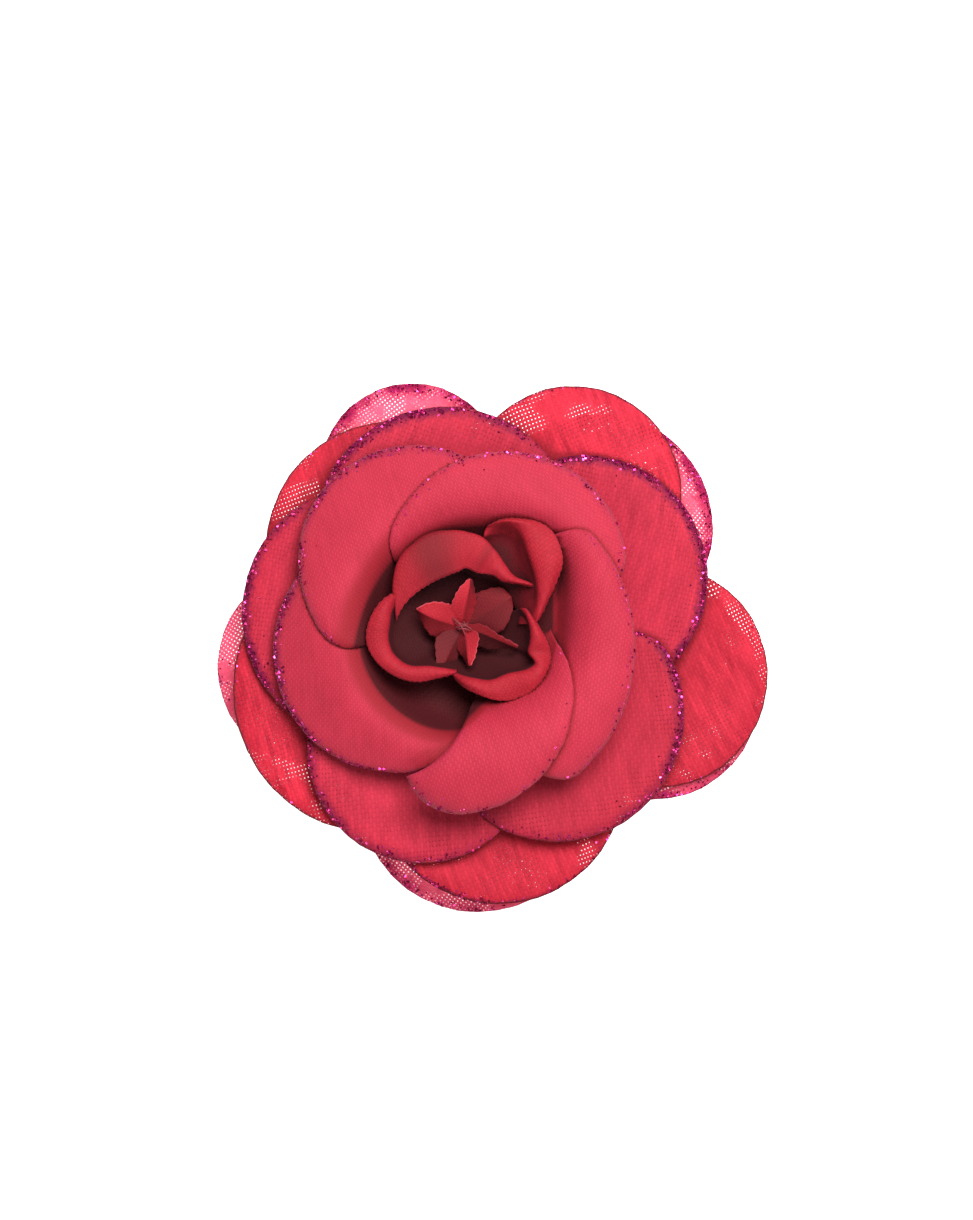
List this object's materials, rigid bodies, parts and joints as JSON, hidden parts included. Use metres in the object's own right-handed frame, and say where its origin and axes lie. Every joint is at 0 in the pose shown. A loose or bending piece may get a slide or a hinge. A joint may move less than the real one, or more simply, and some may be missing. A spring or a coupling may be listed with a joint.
{
  "type": "flower hair clip",
  "caption": "Red cloth rose of layered glitter-edged petals, glued through a felt disc to a sprung steel alligator hair clip.",
  "frame": {"origin": "middle of the lower arm's flat underside", "axes": "+Z out of the rose's face, -X towards the clip's gripping tip, +X towards its finger tabs"},
  "size_m": [0.0749, 0.0722, 0.0302],
  "materials": {
    "red_cloth": "sheer plain-weave polyester with a soft satin sheen",
    "bright_red_cloth": "plain-weave polyester, cut edges lightly frayed",
    "red_felt": "matted felt",
    "sewing_thread": "twisted polyester thread",
    "hot_melt_glue": "translucent set glue",
    "nickel_plated_steel": "bright nickel plate over pressed steel",
    "spring_steel": "drawn wire"
  },
  "bodies": {
    "clip_base": {"lower_arm": "nickel_plated_steel", "pivot_pin": "nickel_plated_steel", "torsion_spring": "spring_steel"},
    "rose_arm": {"upper_arm": "nickel_plated_steel", "glue_pad": "hot_melt_glue", "glue_core": "hot_melt_glue", "felt_backing": "red_felt", "centre_stitch": "sewing_thread", "back_petal_1": "red_cloth", "back_petal_2": "red_cloth", "back_petal_3": "red_cloth", "back_petal_4": "red_cloth", "back_petal_5": "red_cloth", "outer_petal_1": "red_cloth", "outer_petal_2": "red_cloth", "outer_petal_3": "red_cloth", "outer_petal_4": "red_cloth", "outer_petal_5": "red_cloth", "middle_petal_1": "red_cloth", "middle_petal_2": "red_cloth", "middle_petal_3": "red_cloth", "middle_petal_4": "red_cloth", "middle_petal_5": "red_cloth", "inner_petal_1": "red_cloth", "inner_petal_2": "red_cloth", "inner_petal_3": "red_cloth", "inner_petal_4": "red_cloth", "inner_petal_5": "red_cloth", "curled_petal_1": "bright_red_cloth", "curled_petal_2": "bright_red_cloth", "curled_petal_3": "bright_red_cloth", "curled_petal_4": "bright_red_cloth", "bud_petal_1": "bright_red_cloth", "bud_petal_2": "bright_red_cloth", "bud_petal_3": "bright_red_cloth", "bud_petal_4": "bright_red_cloth", "bud_petal_5": "bright_red_cloth", "bud_petal_6": "bright_red_cloth"}
  },
  "joints": [
    {"name": "jaw", "type": "hinge", "parent": "clip_base", "child": "rose_arm", "pos_m": [0.013, 0, 0.0052], "axis": [0, 1, 0], "range_deg": [0, 25], "stiffness_Nm_per_rad": 0.12, "springref_deg": -51.57, "deforming": ["torsion_spring"]}
  ]
}
